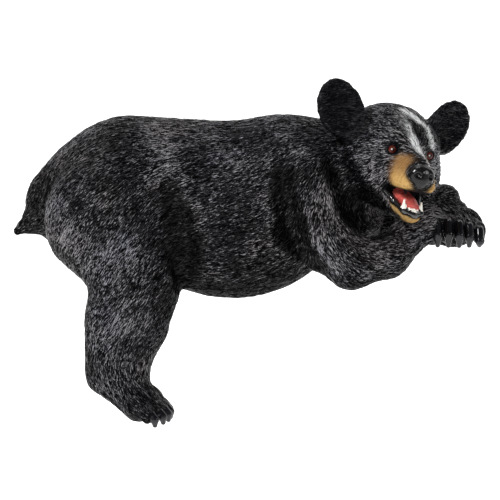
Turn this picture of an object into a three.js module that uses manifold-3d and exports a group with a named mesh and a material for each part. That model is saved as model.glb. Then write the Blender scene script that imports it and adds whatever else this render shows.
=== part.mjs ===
// A black bear lying along a ledge: head towards +X, right side towards -Y, ledge top at z 0.
// The cast body is one smooth field of round cones and ellipsoids, meshed and thinned by flatness.
import * as THREE from "three";
import Module from "manifold-3d";

// Driving sizes, mm. The sculpt's positions are given at SCULPT_LENGTH and scaled together.
// LENGTH is nominal: from tail tip to far claws the casting comes out 12 mm shorter.
const LENGTH = 680;
const LEDGE_FRONT_Y = -58;
const EYE_DIAMETER = 17;
const EYE_CLEARANCE = 0.3;
const GRID = 4.5;
const BODY_TRIANGLES = 7900;
const SCULPT_LENGTH = 680;
const K = LENGTH / SCULPT_LENGTH;
// Corners of the box that holds the sculpt, and a ledge block larger than it.
const BOX_LOW = [-346, -168, -266];
const BOX_HIGH = [346, 140, 270];
const LEDGE_BLOCK = [800, 400, 300];
// Field values: the least a sample may hold, and the one given where the surface is far off.
const LEAST = 0.12;
const FAR = 999;

const add = (a, b, s = 1) => [a[0] + b[0] * s, a[1] + b[1] * s, a[2] + b[2] * s];
const dot = (a, b) => a[0] * b[0] + a[1] * b[1] + a[2] * b[2];
const rad = (deg) => (deg * Math.PI) / 180;

// Ellipsoid with radii r, on its own axes when given as three unit columns.
function ball(c, r, axes) {
  return (p) => {
    let x = p[0] - c[0];
    let y = p[1] - c[1];
    let z = p[2] - c[2];
    if (axes) {
      const d = [x, y, z];
      x = dot(d, axes[0]);
      y = dot(d, axes[1]);
      z = dot(d, axes[2]);
    }
    const u = x / r[0];
    const v = y / r[1];
    const w = z / r[2];
    const a = Math.sqrt(u * u + v * v + w * w);
    const b = Math.hypot(u / r[0], v / r[1], w / r[2]);
    return (a * (a - 1)) / Math.max(b, 1e-6);
  };
}

// Round cone from a to b; flat below 1 narrows it along y.
function limb(a, b, ra, rb, flat = 1) {
  const ba = add(b, a, -1);
  const inv = 1 / dot(ba, ba);
  return (p) => {
    const x = p[0] - a[0];
    const y = p[1] - a[1];
    const z = p[2] - a[2];
    let t = (x * ba[0] + y * ba[1] + z * ba[2]) * inv;
    t = t < 0 ? 0 : t > 1 ? 1 : t;
    const u = x - t * ba[0];
    const v = (y - t * ba[1]) / flat;
    const w = z - t * ba[2];
    return (Math.sqrt(u * u + v * v + w * w) - (ra + (rb - ra) * t)) * flat;
  };
}

function join(k, d, e) {
  const h = Math.max(k - Math.abs(d - e), 0) / k;
  return Math.min(d, e) - (h * h * k) / 4;
}

function carve(k, d, e) {
  const h = Math.max(k - Math.abs(d + e), 0) / k;
  return Math.max(d, -e) + (h * h * k) / 4;
}

// Smooth union of shapes with one blend radius.
function blend(k, ...shapes) {
  return (p) => {
    let d = shapes[0](p);
    for (let i = 1; i < shapes.length; i++) d = join(k, d, shapes[i](p));
    return d;
  };
}

// Skips a group where its bounding sphere is farther off than reach.
function near(c, r, shape, reach = 40) {
  return (p) => {
    const d = Math.hypot(p[0] - c[0], p[1] - c[1], p[2] - c[2]) - r;
    return d > reach ? d : shape(p);
  };
}

function torso() {
  const trunk = blend(
    50,
    limb([-168, 0, 68], [20, 0, 72], 125, 110, 0.84),
    ball([62, 0, 80], [96, 92, 104]),
  );
  const tail = blend(
    20,
    limb([-256, 0, 76], [-334, 0, 28], 50, 6, 0.6),
    ball([-288, 0, 78], [28, 22, 30]),
  );
  return blend(
    30,
    blend(30, trunk, tail),
    limb([90, 0, 96], [165, 0, 138], 80, 58),
    ball([118, -15, 52], [72, 66, 58]),
    ball([-24, -56, 22], [120, 50, 82]),
  );
}

// The hanging leg: f points along the foot, s across the toes, u out of its back.
function hindRight() {
  const f = [0.835, -0.17, -0.523];
  const s = [0.5, 0.85, 0.2];
  const u = [0.454, -0.435, 0.767];
  const heel = [-205, -84, -169];
  const sole = add(heel, f, 68);
  const haunch = blend(
    25,
    ball([-192, -60, 56], [86, 62, 90]),
    limb([-196, -68, 46], [-152, -78, -34], 84, 48, 0.72),
  );
  const shin = blend(
    20,
    limb([-161, -80, -38], [-173, -84, -92], 61, 52, 0.7),
    limb([-173, -84, -92], [-186, -86, -146], 52, 38, 0.72),
  );
  const instep = limb([-186, -86, -140], add(add(heel, f, 45), u, 6), 38, 26, 0.85);
  const foot = blend(
    14,
    limb(heel, sole, 23, 19),
    limb(add(sole, s, -16), add(sole, s, 16), 18, 18),
  );
  const toes = [];
  const claws = [];
  for (let i = -2; i <= 2; i++) {
    const knuckle = [-124.5 + 4.5 * i - 2.1 * i * i, -101 + 11.5 * i, -212 + 1.2 * i];
    toes.push(limb(add(knuckle, f, -24), knuckle, 13, 10.5));
    const root = add(add(knuckle, f, 5), u, 4);
    const bend = add(root, [4, -2, -5]);
    const tip = add(bend, [0.5, 1, -8]);
    claws.push(blend(3, limb(root, bend, 6.2, 5.8), limb(bend, tip, 5.8, 3.6)));
  }
  const leg = blend(14, blend(20, blend(18, haunch, shin), instep), foot);
  return [blend(5, leg, ...toes), claws];
}

function hindLeft() {
  const thigh = blend(
    25,
    ball([-180, 46, 62], [84, 50, 80]),
    limb([-175, 58, 62], [-98, 74, 44], 56, 38, 0.8),
  );
  const foot = limb([-165, 90, 20], [-92, 94, 14], 24, 19);
  const toes = [];
  const claws = [];
  for (let i = -2; i <= 2; i++) {
    const y = 94 + i * 9;
    const x = -72 - 2 * Math.abs(i);
    toes.push(limb([-92, y, 12], [x, y, 11], 11, 9));
    const bend = [x + 16, y, 7];
    claws.push(blend(3, limb([x + 6, y, 11], bend, 4.5, 3), limb(bend, [x + 20, y, 2], 3, 1.5)));
  }
  return [blend(5, blend(18, thigh, foot), ...toes), claws];
}

function foreRight() {
  const upper = blend(
    25,
    limb([76, -68, 112], [102, -78, 30], 38, 42, 0.9),
    limb([102, -78, 30], [140, -98, -6], 42, 31, 0.9),
  );
  const lower = blend(
    14,
    limb([140, -100, -8], [190, -90, 4], 31, 28),
    limb([190, -90, 4], [243, -58, 46], 28, 25),
    limb([243, -58, 46], [276, -14, 74], 25, 23),
  );
  const w = [276, -14, 74];
  const f = [0.42, 0.86, -0.28];
  const s = [0.72, -0.5, -0.48];
  const toes = [];
  const claws = [];
  for (let i = -2; i <= 2; i++) {
    const base = add(add(w, s, 11 * i), f, 6);
    const knuckle = add(add(base, f, 18 - 2 * Math.abs(i)), [0, 0, 3]);
    toes.push(limb(base, knuckle, 12, 10));
    const root = add(add(knuckle, f, 8), [0, 0, -3]);
    const bend = add(add(root, f, 6), [0, 0, -12]);
    const tip = add(add(bend, f, -2), [0, 0, -12]);
    claws.push(blend(3, limb(root, bend, 5, 4), limb(bend, tip, 4, 1.6)));
  }
  return [blend(5, blend(14, upper, lower), ...toes), claws];
}

function foreLeft() {
  const upper = blend(
    25,
    ball([60, 52, 84], [60, 46, 78]),
    limb([84, 64, 58], [146, 84, 30], 48, 30, 0.9),
  );
  const lower = blend(
    14,
    limb([148, 84, 28], [214, 50, 26], 30, 27),
    limb([214, 50, 26], [262, 4, 36], 27, 25),
    limb([262, 4, 36], [286, -40, 38], 25, 26),
  );
  const toes = [];
  const claws = [];
  for (let i = -2; i <= 2; i++) {
    const x = 290 + 14.5 * i;
    const y = 3 * Math.abs(i);
    const top = 54 - 1.1 * (i + 1) ** 2;
    const knuckle = [x, y - 70, top - 6];
    const end = [x, y - 76, top - 16];
    toes.push(limb([290 + 10 * i, -48, top - 2], knuckle, 12, 10), limb(knuckle, end, 10, 8.5));
    const root = [x, y - 80, top - 6];
    const bend = [x, y - 89, top - 20];
    claws.push(blend(3, limb(root, bend, 6.6, 6.2), limb(bend, [x, y - 86, 18], 6.2, 3.4)));
  }
  const back = ball([291, -34, 40], [38, 30, 28]);
  return [blend(4, blend(10, blend(14, upper, lower), back), ...toes), claws];
}

// The head is built in its own frame: left, forward, up. Both halves are alike, but the open jaw hangs
// a little to the left.
const HEAD_C = [194, -40, 137];
const EYE = [28.5, 58, 13];

function headAxes(yaw, pitch, roll) {
  const m = new THREE.Matrix4().makeRotationZ(rad(yaw));
  m.multiply(new THREE.Matrix4().makeRotationX(rad(pitch)));
  m.multiply(new THREE.Matrix4().makeRotationY(rad(roll)));
  const e = m.elements;
  return [
    [e[0], e[1], e[2]],
    [-e[4], -e[5], -e[6]],
    [e[8], e[9], e[10]],
  ];
}
const AXES = headAxes(22, 1, 10.5);

function headPoint(l, f, u) {
  return add(add(add(HEAD_C, AXES[0], l), AXES[1], f), AXES[2], u);
}

function ear() {
  const turn = rad(7);
  const lean = rad(32);
  const n = [Math.sin(turn), Math.cos(turn), 0];
  const out = [Math.cos(turn), -Math.sin(turn), 0];
  const long = [out[0] * Math.sin(lean), out[1] * Math.sin(lean), Math.cos(lean)];
  const wide = [out[0] * Math.cos(lean), out[1] * Math.cos(lean), -Math.sin(lean)];
  const shell = blend(
    16,
    ball([86, -2, 56], [32, 14, 42], [wide, n, long]),
    limb([50, -4, 30], [74, 0, 44], 26, 20),
  );
  const hollow = ball(add([88, 0, 58], n, 10), [25, 11, 34], [wide, n, long]);
  return (p) => carve(10, shell(p), hollow(p));
}

function face() {
  const skull = blend(
    20,
    ball([0, -6, 10], [70, 74, 66]),
    ball([32, 8, -22], [42, 52, 44]),
    ball([0, 30, 26], [42, 36, 28]),
  );
  const muzzle = blend(
    12,
    limb([0, 44, -10], [0, 86, -19], 36, 21),
    limb([0, 44, 12], [0, 94, -5], 20, 14),
    ball([13, 86, -26], [17, 24, 13]),
  );
  const jaw = limb([0, 20, -42], [0, 77, -67], 34, 15.5);
  const brow = limb([14, 60, 26], [42, 44, 22], 9, 8);
  return blend(8, blend(10, blend(16, skull, muzzle), jaw), brow);
}

// The open mouth is a wedge between palate and lower jaw, narrowing back to its corners.
function mouth([l, f, u]) {
  const palate = u + 37 + 0.04 * (f - 45);
  const jawTop = (-42 - 0.6 * (f - 45) - u) / 1.166;
  const corner = (42 + 0.5 * l - f) / 1.118;
  return -join(7, join(7, -palate, -jawTop), -corner);
}

function nose() {
  return blend(
    5,
    ball([0, 105, -11], [16.5, 12, 11]),
    ball([0, 106, -20], [12, 12, 12]),
    ball([9, 106, -15], [9, 9.5, 10]),
  );
}

function tongue() {
  return blend(3, limb([0, 44, -51], [0, 72, -57], 17, 13), ball([0, 80, -60], [14, 8, 7]));
}

// Lower canine, upper canine, then the lower incisors of one side.
function teeth() {
  const list = [
    limb([13, 83, -64], [13.5, 85.5, -51.5], 3.6, 1.1),
    limb([15, 91, -36], [15, 92.5, -42], 3, 1.2),
  ];
  for (const l of [2.1, 6.2, 10]) {
    const f = 87 - 0.05 * l * l;
    list.push(limb([l, f, -68], [l, f + 1, -64], 2.2, 1.8));
  }
  return list;
}

function lowerLip() {
  return blend(
    3,
    limb([26, 55, -45], [20, 63, -54.5], 3, 3.6),
    limb([20, 63, -54.5], [13.5, 84, -66.5], 3.6, 3.6),
    limb([13.5, 84, -66.5], [0, 91.5, -70], 3.6, 3.6),
  );
}

function head() {
  const skull = face();
  const snout = nose();
  const nostril = ball([10, 117, -15], [4.4, 6, 3.6]);
  const mouthParts = [tongue(), lowerLip()];
  const bite = teeth();
  const lids = ball(add(EYE, [0, -3, 0]), [12.5, 11.4, 11.5]);
  const opening = ball(add(EYE, [1, 9.5, 0]), [7.6, 6.5, 5.8]);
  const ears = ear();
  return (p) => {
    const d = add(p, HEAD_C, -1);
    const f = dot(d, AXES[1]);
    const u = dot(d, AXES[2]);
    const sway = 0.2 * Math.min(Math.max(-25 - u, 0), 45) * Math.min(Math.max((f - 20) / 40, 0), 1);
    const q = [Math.abs(dot(d, AXES[0]) - sway), f, u];
    let h = carve(4, skull(q), mouth(q));
    for (const part of mouthParts) h = join(3, h, part(q));
    for (const tooth of bite) h = join(2, h, tooth(q));
    h = carve(2, join(3, h, snout(q)), nostril(q));
    h = carve(1.5, join(4, h, lids(q)), opening(q));
    return join(8, h, ears(q));
  };
}

// Grooves where the thigh and the upper arm meet the flank, and the hollow between arm and cheek.
function creases() {
  const thigh = [
    limb([-110, -107, 102], [-98, -109, 55], 6, 12),
    limb([-98, -109, 55], [-91, -107, 15], 12, 14),
    limb([-91, -107, 15], [-91, -92, -40], 14, 8),
  ];
  const arm = [
    limb([45, -101, 122], [50, -104, 80], 6, 11),
    limb([50, -104, 80], [57, -105, 40], 11, 13),
    limb([57, -105, 40], [90, -106, -14], 13, 11),
  ];
  const cheek = [
    limb([116, -84, 152], [130, -95, 114], 7, 14),
    limb([130, -95, 114], [148, -99, 76], 14, 21),
    limb([148, -99, 76], [178, -98, 52], 21, 17),
  ];
  return blend(12, ...thigh, ...arm, ...cheek);
}

function bearField() {
  const [legR, clawsA] = hindRight();
  const [legL, clawsB] = hindLeft();
  const [armR, clawsC] = foreRight();
  const [armL, clawsD] = foreLeft();
  const trunk = torso();
  const grooves = creases();
  const parts = [
    [9, near([-180, -70, -60], 210, legR)],
    [12, near([-150, 60, 50], 150, legL)],
    [10, near([160, 20, 60], 190, armL)],
    [8, near([160, -60, 50], 190, armR)],
    [8, near(HEAD_C, 150, head())],
  ];
  const clawGroups = [
    [[-140, -100, -205], clawsA],
    [[-60, 94, 8], clawsB],
    [[300, 20, 60], clawsC],
    [[290, -80, 30], clawsD],
  ].map(([c, list]) => near(c, 70, blend(0.5, ...list), 10));
  return (p) => {
    let d = trunk(p);
    for (const [k, part] of parts) d = join(k, d, part(p));
    d = carve(14, d, grooves(p));
    for (const g of clawGroups) d = join(1.5, d, g(p));
    return d;
  };
}

// Keeps a sample off the surface itself, so no facet shrinks to nothing.
function offZero(v) {
  if (Math.abs(v) >= LEAST) return v;
  return v < 0 ? -LEAST : LEAST;
}

// Samples the field on a grid, looking closely only where the surface can be.
function sample(field, lo, hi, step) {
  const coarse = 4;
  const n = [0, 1, 2].map((i) => Math.ceil((hi[i] - lo[i]) / step / coarse) * coarse + 1);
  const values = new Float32Array(n[0] * n[1] * n[2]);
  const at = (i, j, k) => (i * n[1] + j) * n[2] + k;
  const valueAt = (i, j, k) => field([lo[0] + i * step, lo[1] + j * step, lo[2] + k * step]);
  for (let i = 0; i < n[0] - 1; i += coarse)
    for (let j = 0; j < n[1] - 1; j += coarse)
      for (let k = 0; k < n[2] - 1; k += coarse) {
        const mid = valueAt(i + coarse / 2, j + coarse / 2, k + coarse / 2);
        const close = Math.abs(mid) < coarse * step * 1.5;
        for (let a = 0; a <= coarse; a++)
          for (let b = 0; b <= coarse; b++)
            for (let c = 0; c <= coarse; c++) {
              const t = at(i + a, j + b, k + c);
              if (close) {
                const open = values[t] === 0 || Math.abs(values[t]) === FAR;
                if (open) values[t] = offZero(valueAt(i + a, j + b, k + c));
              } else if (values[t] === 0) values[t] = mid > 0 ? FAR : -FAR;
            }
      }
  return { values, n, at, lo, step };
}

// Marching tetrahedra: six tetrahedra to a cell, which always closes.
function meshOf({ values, n, at, lo, step }) {
  const corner = [[0, 0, 0], [1, 0, 0], [1, 1, 0], [0, 1, 0], [0, 0, 1], [1, 0, 1], [1, 1, 1], [0, 1, 1]];
  const tets = [[0, 1, 2, 6], [0, 2, 3, 6], [0, 3, 7, 6], [0, 7, 4, 6], [0, 4, 5, 6], [0, 5, 1, 6]];
  const points = [];
  const faces = [];
  const seen = new Map();
  const total = values.length;
  function vertex(a, b, pa, pb) {
    const key = a < b ? a * total + b : b * total + a;
    let v = seen.get(key);
    if (v === undefined) {
      const t = values[a] / (values[a] - values[b]);
      v = points.length;
      points.push([0, 1, 2].map((i) => lo[i] + (pa[i] + (pb[i] - pa[i]) * t) * step));
      seen.set(key, v);
    }
    return v;
  }
  for (let i = 0; i < n[0] - 1; i++)
    for (let j = 0; j < n[1] - 1; j++)
      for (let k = 0; k < n[2] - 1; k++) {
        const c = corner.map((o) => [i + o[0], j + o[1], k + o[2]]);
        const id = c.map((o) => at(...o));
        let inside = 0;
        for (const q of id) if (values[q] < 0) inside++;
        if (inside === 0 || inside === 8) continue;
        for (const t of tets) {
          const ins = t.filter((q) => values[id[q]] < 0);
          const outs = t.filter((q) => values[id[q]] >= 0);
          const cut = (a, b) => vertex(id[a], id[b], c[a], c[b]);
          const place = (x, y, z) => {
            const P = points[x];
            const e1 = add(points[y], P, -1);
            const e2 = add(points[z], P, -1);
            const nx = e1[1] * e2[2] - e1[2] * e2[1];
            const ny = e1[2] * e2[0] - e1[0] * e2[2];
            const nz = e1[0] * e2[1] - e1[1] * e2[0];
            const dir = add(c[outs[0]], c[ins[0]], -1);
            faces.push(nx * dir[0] + ny * dir[1] + nz * dir[2] > 0 ? [x, y, z] : [x, z, y]);
          };
          if (ins.length === 1) place(...outs.map((q) => cut(ins[0], q)));
          else if (ins.length === 3) place(...ins.map((q) => cut(q, outs[0])));
          else if (ins.length === 2) {
            const a = cut(ins[0], outs[0]);
            const b = cut(ins[0], outs[1]);
            const d = cut(ins[1], outs[1]);
            const e = cut(ins[1], outs[0]);
            place(a, b, d);
            place(a, d, e);
          }
        }
      }
  return { points, faces };
}

// Thins a closed mesh by collapsing the edges whose error quadrics cost least.
function thin(points, faces, target, weightAt) {
  const P = points;
  const F = faces;
  const alive = F.map(() => true);
  const around = P.map(() => new Set());
  const Q = P.map(() => new Float64Array(10));
  F.forEach((f, i) => {
    for (const v of f) around[v].add(i);
    const [a, b, c] = f.map((v) => P[v]);
    const e = add(b, a, -1);
    const g = add(c, a, -1);
    const n = [e[1] * g[2] - e[2] * g[1], e[2] * g[0] - e[0] * g[2], e[0] * g[1] - e[1] * g[0]];
    const len = Math.hypot(...n);
    if (len < 1e-9) return;
    const [x, y, z] = n.map((v) => v / len);
    const w = -(x * a[0] + y * a[1] + z * a[2]);
    const s = (len / 2) * weightAt(a);
    const q = [x * x, x * y, x * z, x * w, y * y, y * z, y * w, z * z, z * w, w * w];
    for (const v of f) for (let k = 0; k < 10; k++) Q[v][k] += q[k] * s;
  });
  const version = new Int32Array(P.length);
  const heap = [];
  const less = (a, b) => a.cost < b.cost;
  function push(item) {
    let i = heap.length;
    heap.push(item);
    while (i > 0) {
      const up = (i - 1) >> 1;
      if (!less(heap[i], heap[up])) break;
      [heap[i], heap[up]] = [heap[up], heap[i]];
      i = up;
    }
  }
  function pop() {
    const top = heap[0];
    const last = heap.pop();
    if (heap.length) {
      heap[0] = last;
      let i = 0;
      for (;;) {
        let m = i;
        const l = 2 * i + 1;
        if (l < heap.length && less(heap[l], heap[m])) m = l;
        if (l + 1 < heap.length && less(heap[l + 1], heap[m])) m = l + 1;
        if (m === i) break;
        [heap[i], heap[m]] = [heap[m], heap[i]];
        i = m;
      }
    }
    return top;
  }
  const costAt = (q, [x, y, z]) =>
    q[0] * x * x + 2 * q[1] * x * y + 2 * q[2] * x * z + 2 * q[3] * x + q[4] * y * y +
    2 * q[5] * y * z + 2 * q[6] * y + q[7] * z * z + 2 * q[8] * z + q[9];
  function solve(q, a, b) {
    const [m00, m01, m02, r0, m11, m12, r1, m22, r2] = q;
    const c0 = m11 * m22 - m12 * m12;
    const c1 = m02 * m12 - m01 * m22;
    const c2 = m01 * m12 - m02 * m11;
    const det = m00 * c0 + m01 * c1 + m02 * c2;
    const size = m00 + m11 + m22;
    if (Math.abs(det) > 1e-4 * size * size * size) {
      const d1 = m00 * m22 - m02 * m02;
      const d2 = m01 * m02 - m00 * m12;
      const d3 = m00 * m11 - m01 * m01;
      const best = [
        -(c0 * r0 + c1 * r1 + c2 * r2) / det,
        -(c1 * r0 + d1 * r1 + d2 * r2) / det,
        -(c2 * r0 + d2 * r1 + d3 * r2) / det,
      ];
      const mid = add(add([0, 0, 0], a, 0.5), b, 0.5);
      if (Math.hypot(...add(best, mid, -1)) < 2 * Math.hypot(...add(a, b, -1))) return best;
    }
    let pick = null;
    for (const t of [0, 0.25, 0.5, 0.75, 1]) {
      const c = add(add([0, 0, 0], a, 1 - t), b, t);
      if (!pick || costAt(q, c) < costAt(q, pick)) pick = c;
    }
    return pick;
  }
  function offer(a, b) {
    const q = Q[a].map((v, k) => v + Q[b][k]);
    const to = solve(q, P[a], P[b]);
    const length = Math.hypot(...add(P[a], P[b], -1));
    const cost = Math.max(costAt(q, to), 0) + 1e-5 * length * length;
    push({ cost, a, b, to, va: version[a], vb: version[b] });
  }
  function neighbours(v) {
    const out = new Set();
    for (const f of around[v]) for (const w of F[f]) if (w !== v) out.add(w);
    return out;
  }
  const normal = (a, b, c) => {
    const e = add(b, a, -1);
    const g = add(c, a, -1);
    return [e[1] * g[2] - e[2] * g[1], e[2] * g[0] - e[0] * g[2], e[0] * g[1] - e[1] * g[0]];
  };
  // A face may not flip, nor become a sliver.
  function spoils(v, other, to) {
    for (const f of around[v]) {
      const t = F[f];
      if (t.includes(other)) continue;
      const old = normal(...t.map((w) => P[w]));
      const now = t.map((w) => (w === v ? to : P[w]));
      const fresh = normal(...now);
      const size = Math.hypot(...fresh);
      if (dot(old, fresh) < 0.2 * Math.hypot(...old) * size) return true;
      const longest = Math.max(...[0, 1, 2].map((i) => Math.hypot(...add(now[i], now[(i + 1) % 3], -1))));
      if (size < 0.02 * longest * longest) return true;
    }
    return false;
  }
  F.forEach((f) => {
    for (let i = 0; i < 3; i++) if (f[i] < f[(i + 1) % 3]) offer(f[i], f[(i + 1) % 3]);
  });
  let count = F.length;
  while (count > target && heap.length) {
    const { a, b, to, va, vb } = pop();
    if (version[a] !== va || version[b] !== vb || !around[a].size || !around[b].size) continue;
    const shared = [...around[a]].filter((f) => around[b].has(f));
    if (shared.length !== 2) continue;
    const nb = neighbours(b);
    let common = 0;
    for (const w of neighbours(a)) if (nb.has(w)) common++;
    if (common !== 2 || spoils(a, b, to) || spoils(b, a, to)) continue;
    for (const f of shared) {
      alive[f] = false;
      for (const w of F[f]) around[w].delete(f);
    }
    count -= 2;
    for (const f of around[b]) {
      F[f] = F[f].map((w) => (w === b ? a : w));
      around[a].add(f);
    }
    around[b].clear();
    P[a] = to;
    for (let k = 0; k < 10; k++) Q[a][k] += Q[b][k];
    version[a]++;
    version[b]++;
    for (const w of neighbours(a)) offer(Math.min(a, w), Math.max(a, w));
  }
  return { points: P, faces: F.filter((f, i) => alive[i]) };
}

// Smooth areas keep few facets; the face, the claws and the toes keep more.
function careAt(p) {
  const face = headPoint(0, 90, -25);
  const focus = [
    [face, 60, 8],
    [headPoint(0, 0, 20), 120, 2.5],
    [[290, -75, 35], 60, 4],
    [[300, 20, 60], 60, 2],
    [[-135, -100, -205], 60, 4],
  ];
  let w = 1;
  for (const [c, r, k] of focus) {
    if (Math.hypot(p[0] - c[0], p[1] - c[1], p[2] - c[2]) < r) w = Math.max(w, k);
  }
  return w;
}

const wasm = await Module();
wasm.setup();

function toSolid(points, faces) {
  return new wasm.Manifold(
    new wasm.Mesh({
      numProp: 3,
      vertProperties: new Float32Array(points.flat()),
      triVerts: new Uint32Array(faces.flat()),
    }),
  );
}

function geometryOf(solid) {
  const m = solid.getMesh();
  const xyz = new Float32Array(m.numVert * 3);
  for (let i = 0; i < m.numVert; i++) {
    for (let k = 0; k < 3; k++) xyz[3 * i + k] = m.vertProperties[i * m.numProp + k] * K;
  }
  return new THREE.BufferGeometry()
    .setAttribute("position", new THREE.BufferAttribute(xyz, 3))
    .setIndex(new THREE.BufferAttribute(m.triVerts, 1));
}

// A closed indexed geometry, its split corners merged.
function solidFrom(g) {
  const merged = new Map();
  const points = [];
  const pos = g.getAttribute("position");
  const remap = [];
  for (let i = 0; i < pos.count; i++) {
    const v = [pos.getX(i), pos.getY(i), pos.getZ(i)];
    const key = v.map((c) => c.toFixed(4)).join();
    if (!merged.has(key)) {
      merged.set(key, points.length);
      points.push(v);
    }
    remap.push(merged.get(key));
  }
  const faces = [];
  for (let i = 0; i < g.index.count; i += 3) {
    const f = [0, 1, 2].map((k) => remap[g.index.getX(i + k)]);
    if (new Set(f).size === 3) faces.push(f);
  }
  return toSolid(points, faces);
}

function sphereAt(centre, diameter) {
  const g = new THREE.SphereGeometry(diameter / 2, 20, 12);
  return solidFrom(g.translate(...centre));
}

const resin = new THREE.MeshStandardMaterial({ color: 0x242427, roughness: 0.5, metalness: 0 });
const acrylic = new THREE.MeshStandardMaterial({ color: 0x4a1410, roughness: 0.12, metalness: 0 });

const volume = sample(bearField(), BOX_LOW, BOX_HIGH, GRID);
const rough = meshOf(volume);
const thinned = thin(rough.points, rough.faces, BODY_TRIANGLES, careAt);
let bear = toSolid(thinned.points, thinned.faces);

// The ledge: everything behind its front face is cut level with its top.
const block = new THREE.BoxGeometry(...LEDGE_BLOCK);
const ledge = solidFrom(block.translate(0, LEDGE_FRONT_Y + LEDGE_BLOCK[1] / 2, -LEDGE_BLOCK[2] / 2));
bear = bear.subtract(ledge);
const eyes = [-1, 1].map((side) => headPoint(side * EYE[0], EYE[1], EYE[2]));
for (const c of eyes) bear = bear.subtract(sphereAt(c, EYE_DIAMETER + 2 * EYE_CLEARANCE));
bear = bear.decompose().sort((a, b) => b.volume() - a.volume())[0];

const part = new THREE.Group();
part.name = "climbing_bear";
function addNode(name, solid, material) {
  const mesh = new THREE.Mesh(geometryOf(solid), material);
  mesh.name = name;
  part.add(mesh);
}
addNode("bear_body", bear, resin);
addNode("eye_right", sphereAt(eyes[0], EYE_DIAMETER), acrylic);
addNode("eye_left", sphereAt(eyes[1], EYE_DIAMETER), acrylic);
export default part;
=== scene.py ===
import math
import bpy
import numpy as np
from mathutils import Matrix, Vector


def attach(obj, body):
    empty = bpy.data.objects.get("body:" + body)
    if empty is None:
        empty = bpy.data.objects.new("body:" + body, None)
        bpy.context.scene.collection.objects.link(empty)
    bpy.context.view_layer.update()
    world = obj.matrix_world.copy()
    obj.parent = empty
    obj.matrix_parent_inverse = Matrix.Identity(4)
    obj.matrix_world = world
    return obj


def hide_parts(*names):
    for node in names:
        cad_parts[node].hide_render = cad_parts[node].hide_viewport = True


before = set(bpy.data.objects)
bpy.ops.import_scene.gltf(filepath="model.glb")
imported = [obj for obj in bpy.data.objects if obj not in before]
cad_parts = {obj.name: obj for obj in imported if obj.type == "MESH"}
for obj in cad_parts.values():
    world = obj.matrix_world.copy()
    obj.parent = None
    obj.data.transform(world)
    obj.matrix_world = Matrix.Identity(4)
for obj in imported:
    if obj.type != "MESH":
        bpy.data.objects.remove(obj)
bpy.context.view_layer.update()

# The dressed bear: the same cast form as the solid, meshed finely, with its carved coat.
# The sculpt works in millimetres: head towards +X, viewer at -Y, ledge top at z 0.
F4 = np.float32
LENGTH = 680
SCULPT_LENGTH = 680
SCALE = LENGTH / SCULPT_LENGTH
LEDGE_FRONT_Y = -58
EYE_DIAMETER = 17

# Mesh: cell size, the sampled box, and the triangles that the coat keeps.
GRID = 1.6
BOX_LOW = (-346, -168, -266)
BOX_HIGH = (346, 140, 270)
TRIANGLES = 196000


def in_metres(measure):
    """Finished metres from a sculpt measure or place."""
    return measure * SCALE / 1000


def vec(*a):
    return np.array(a, F4)


def ball(c, r, axes=None):
    """Ellipsoid; axes holds its own axes as columns."""
    c, r = vec(*c), vec(*r)

    def shape(p):
        q = p - c
        if axes is not None:
            q = q @ axes
        a = np.sqrt(((q / r) ** 2).sum(-1))
        b = np.sqrt(((q / (r * r)) ** 2).sum(-1))
        return a * (a - 1) / np.maximum(b, 1e-6)

    return shape


def limb(a, b, ra, rb, flat=1.0):
    """Round cone from a to b; flat below 1 narrows it along y."""
    a, b = vec(*a), vec(*b)
    ba = b - a
    squeeze = vec(1, 1 / flat, 1)

    def shape(p):
        pa = p - a
        t = np.clip((pa @ ba) / (ba @ ba), 0, 1)
        q = (pa - t[:, None] * ba) * squeeze
        return (np.sqrt((q * q).sum(-1)) - (ra + (rb - ra) * t)) * flat

    return shape


def join(k, d, e):
    """Union of two distances with a fillet of about k."""
    h = np.maximum(k - np.abs(d - e), 0) / k
    return np.minimum(d, e) - h * h * k / 4


def carve(k, d, e):
    """Cuts e out of d with an edge softened by k."""
    h = np.maximum(k - np.abs(d + e), 0) / k
    return np.maximum(d, -e) + h * h * k / 4


def blend(k, *shapes):
    def shape(p):
        d = shapes[0](p)
        for s in shapes[1:]:
            d = join(k, d, s(p))
        return d

    return shape


def near(c, r, inner, reach=40):
    """Skips a group where its bounding sphere is farther off than reach."""
    c = vec(*c)

    def shape(p):
        d = np.sqrt(((p - c) ** 2).sum(-1)) - r
        close = d < reach
        if close.any():
            d[close] = inner(p[close])
        return d

    return shape


def torso():
    """Trunk and tail, neck, chest and the belly's near side."""
    trunk = blend(50, limb((-168, 0, 68), (20, 0, 72), 125, 110, 0.84), ball((62, 0, 80), (96, 92, 104)))
    tail = blend(20, limb((-256, 0, 76), (-334, 0, 28), 50, 6, 0.6), ball((-288, 0, 78), (28, 22, 30)))
    return blend(
        30,
        blend(30, trunk, tail),
        limb((90, 0, 96), (165, 0, 138), 80, 58),
        ball((118, -15, 52), (72, 66, 58)),
        ball((-24, -56, 22), (120, 50, 82)),
    )


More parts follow.
